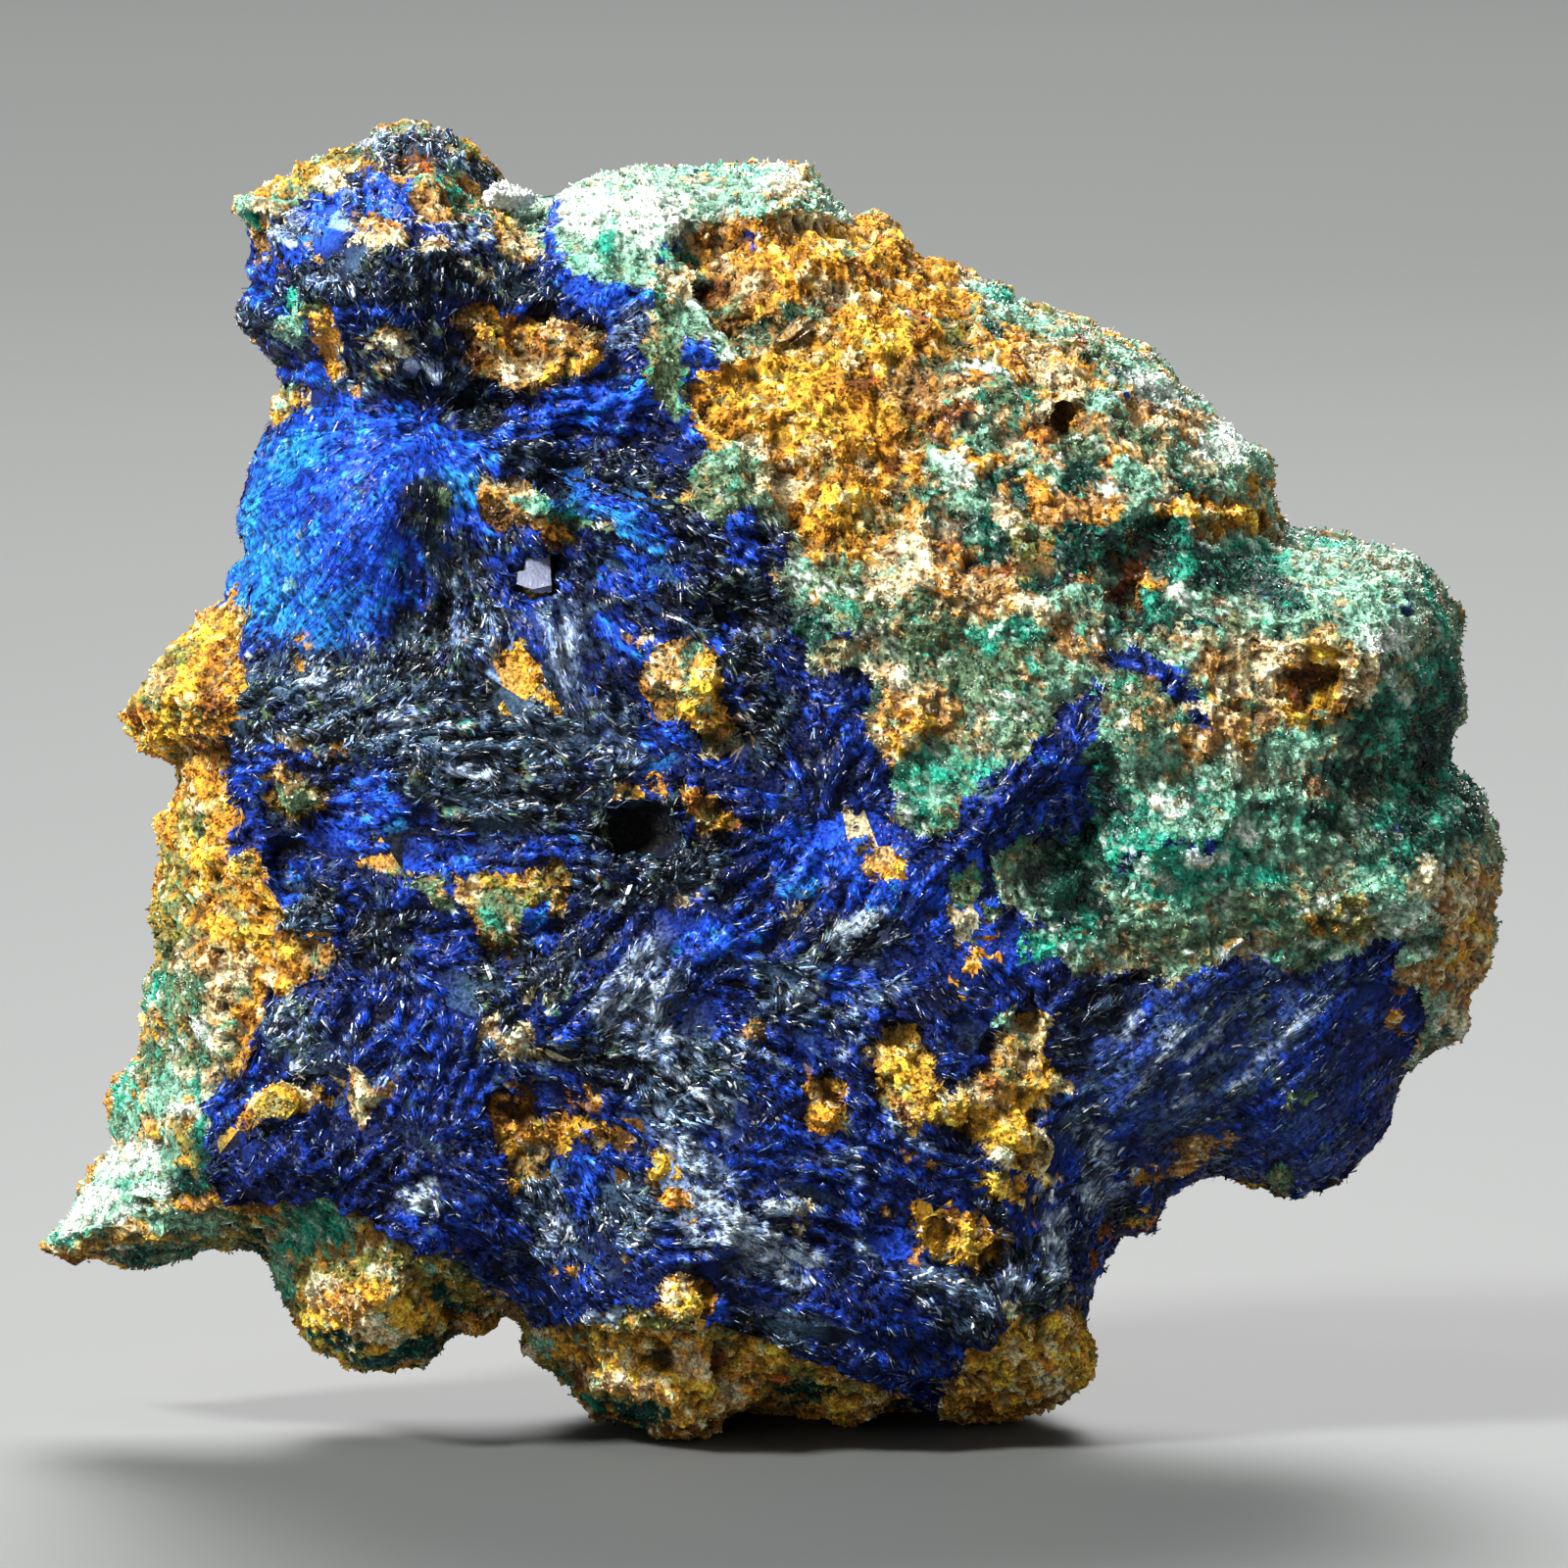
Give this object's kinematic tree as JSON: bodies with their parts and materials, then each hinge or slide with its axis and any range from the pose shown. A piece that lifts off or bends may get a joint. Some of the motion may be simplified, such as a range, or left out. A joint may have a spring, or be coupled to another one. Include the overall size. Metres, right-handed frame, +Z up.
{
  "type": "linarite specimen",
  "caption": "Hand-sized mineral specimen: deep blue linarite and green brochantite crusts on an ochre gossan matrix, standing on worn feet.",
  "frame": {"origin": "centre of the bounding box at its base, on the surface that the specimen stands on", "axes": "+Z up, +X to the right along the width of the crusted face, +Y from the crusted face towards the broken back"},
  "size_m": [0.0902, 0.0416, 0.0796],
  "materials": {
    "gossan": "rough, earthy, ochre to brown with gold and green stains",
    "linarite": "deep azure blue druse of small bladed crystals, vitreous",
    "brochantite": "pale mint to dark teal druse of fine grains, vitreous",
    "cerussite": "white, greasy gloss",
    "anglesite": "pale lavender grey, glassy"
  },
  "bodies": {
    "root": {"gossan_matrix": "gossan", "linarite_crust": "linarite", "brochantite_slope": "brochantite", "brochantite_field": "brochantite", "linarite_vein_upper": "linarite", "linarite_vein_middle": "linarite", "cerussite_flake": "cerussite", "anglesite_crystal": "anglesite"}
  },
  "joints": []
}
